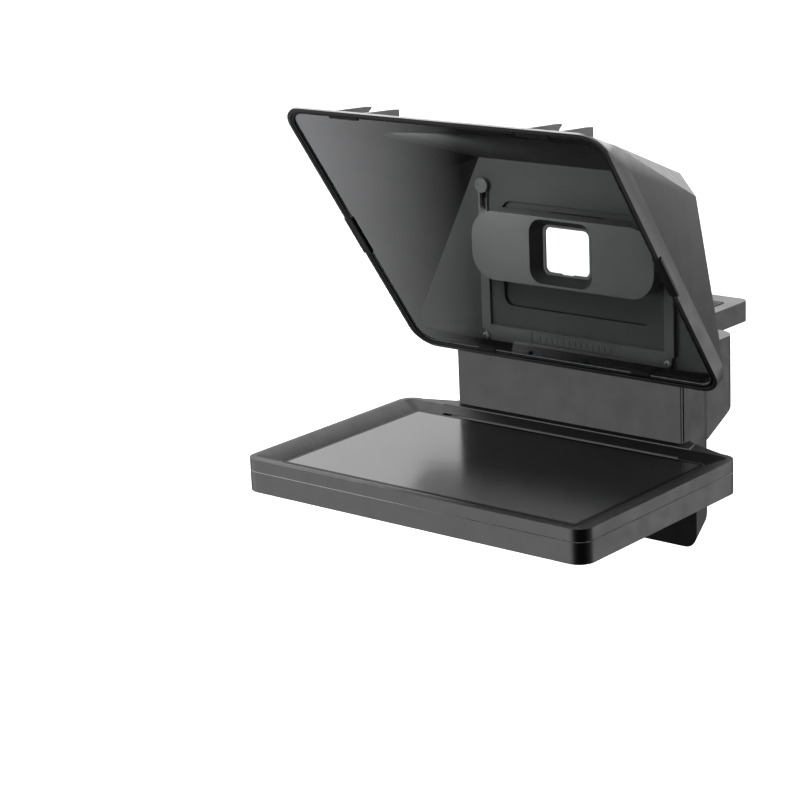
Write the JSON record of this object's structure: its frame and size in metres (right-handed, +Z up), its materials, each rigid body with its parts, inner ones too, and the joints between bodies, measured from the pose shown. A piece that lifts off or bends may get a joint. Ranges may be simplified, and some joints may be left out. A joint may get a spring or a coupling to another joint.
{
  "type": "teleprompter",
  "caption": "Desktop teleprompter: flat display base, upright, sloping beam-splitter hood and a height-adjustable camera shelf behind it.",
  "frame": {"origin": "mouth of the 1/4 inch tripod thread, in the middle of the base's underside", "axes": "+Z up, the reader stands on the -Y side and looks along +Y, the camera shelf is on the +Y side, +X to the reader's right"},
  "size_m": [0.226, 0.2725, 0.2525],
  "materials": {
    "frame_plastic": "fine texture",
    "housing_plastic": "fine texture",
    "screen_glass": "gloss",
    "display_cell": "gloss",
    "backlight_white": "satin",
    "board_green": "solder mask",
    "ribbon_film": "film",
    "port_steel": "plated",
    "insert_brass": "machined",
    "screw_black": "black oxide",
    "upright_plastic": "fine texture",
    "cover_plastic": "fine texture",
    "bracket_steel": "zinc plated",
    "guide_plastic": "fine texture",
    "carriage_plastic": "fine texture",
    "shoe_acetal": "smooth",
    "pad_rubber": "ribbed",
    "washer_steel": "plated",
    "screw_steel": "knurled",
    "hood_plastic": "fine texture",
    "gasket_rubber": "soft",
    "mirror_glass": "half-silvered",
    "bezel_plastic": "gloss",
    "window_frame_plastic": "satin",
    "window_plastic": "fine texture",
    "tab_plastic": "satin",
    "backplate_plastic": "fine texture",
    "latch_plastic": "satin",
    "screw_zinc": "zinc plated"
  },
  "bodies": {
    "stand": {"base_frame": "frame_plastic", "base_housing": "housing_plastic", "cover_glass": "screen_glass", "lcd_panel": "display_cell", "backlight_unit": "backlight_white", "driver_board": "board_green", "display_ribbon": "ribbon_film", "usb_port": "port_steel", "port_board": "board_green", "tripod_insert": "insert_brass", "base_screws": "screw_black", "upright_housing": "upright_plastic", "upright_front_cover": "cover_plastic", "spine_bracket": "bracket_steel", "foot_screws": "screw_black", "guide_plate": "guide_plastic", "guide_screws": "screw_black", "hood_shell": "hood_plastic", "glass_gasket": "gasket_rubber", "beam_splitter_glass": "mirror_glass", "glass_bezel": "bezel_plastic", "window_frame": "window_frame_plastic", "window_plate": "window_plastic", "window_seal": "gasket_rubber", "rear_backplate": "backplate_plastic", "hood_screws": "screw_zinc", "hood_nuts": "screw_zinc"},
    "carriage": {"camera_carriage": "carriage_plastic", "carriage_shoes": "shoe_acetal", "shelf_pads": "pad_rubber"},
    "screw_slider": {"screw_washer": "washer_steel"},
    "screw": {"camera_screw": "screw_steel"},
    "latch_left": {"slide_latch_left": "latch_plastic"},
    "latch_right": {"slide_latch_right": "latch_plastic"},
    "release": {"release_tab": "tab_plastic"}
  },
  "joints": [
    {"name": "carriage_height", "type": "slide", "parent": "stand", "child": "carriage", "axis": [0, 0, 1], "range_m": [-0.045, 0]},
    {"name": "screw_along_slot", "type": "slide", "parent": "carriage", "child": "screw_slider", "axis": [0, 1, 0], "range_m": [-0.0113, 0.0243]},
    {"name": "camera_screw_turn", "type": "hinge", "parent": "screw_slider", "child": "screw", "pos_m": [0, 0.162, 0.06], "axis": [0, 0, 1], "continuous": true},
    {"name": "latch_left_slide", "type": "slide", "parent": "stand", "child": "latch_left", "axis": [0, 0, 1], "range_m": [-0.012, 0]},
    {"name": "latch_right_slide", "type": "slide", "parent": "stand", "child": "latch_right", "axis": [0, 0, 1], "range_m": [-0.012, 0]},
    {"name": "release_tab_press", "type": "slide", "parent": "stand", "child": "release", "axis": [0, 1, 0], "range_m": [0, 0.0014]}
  ]
}
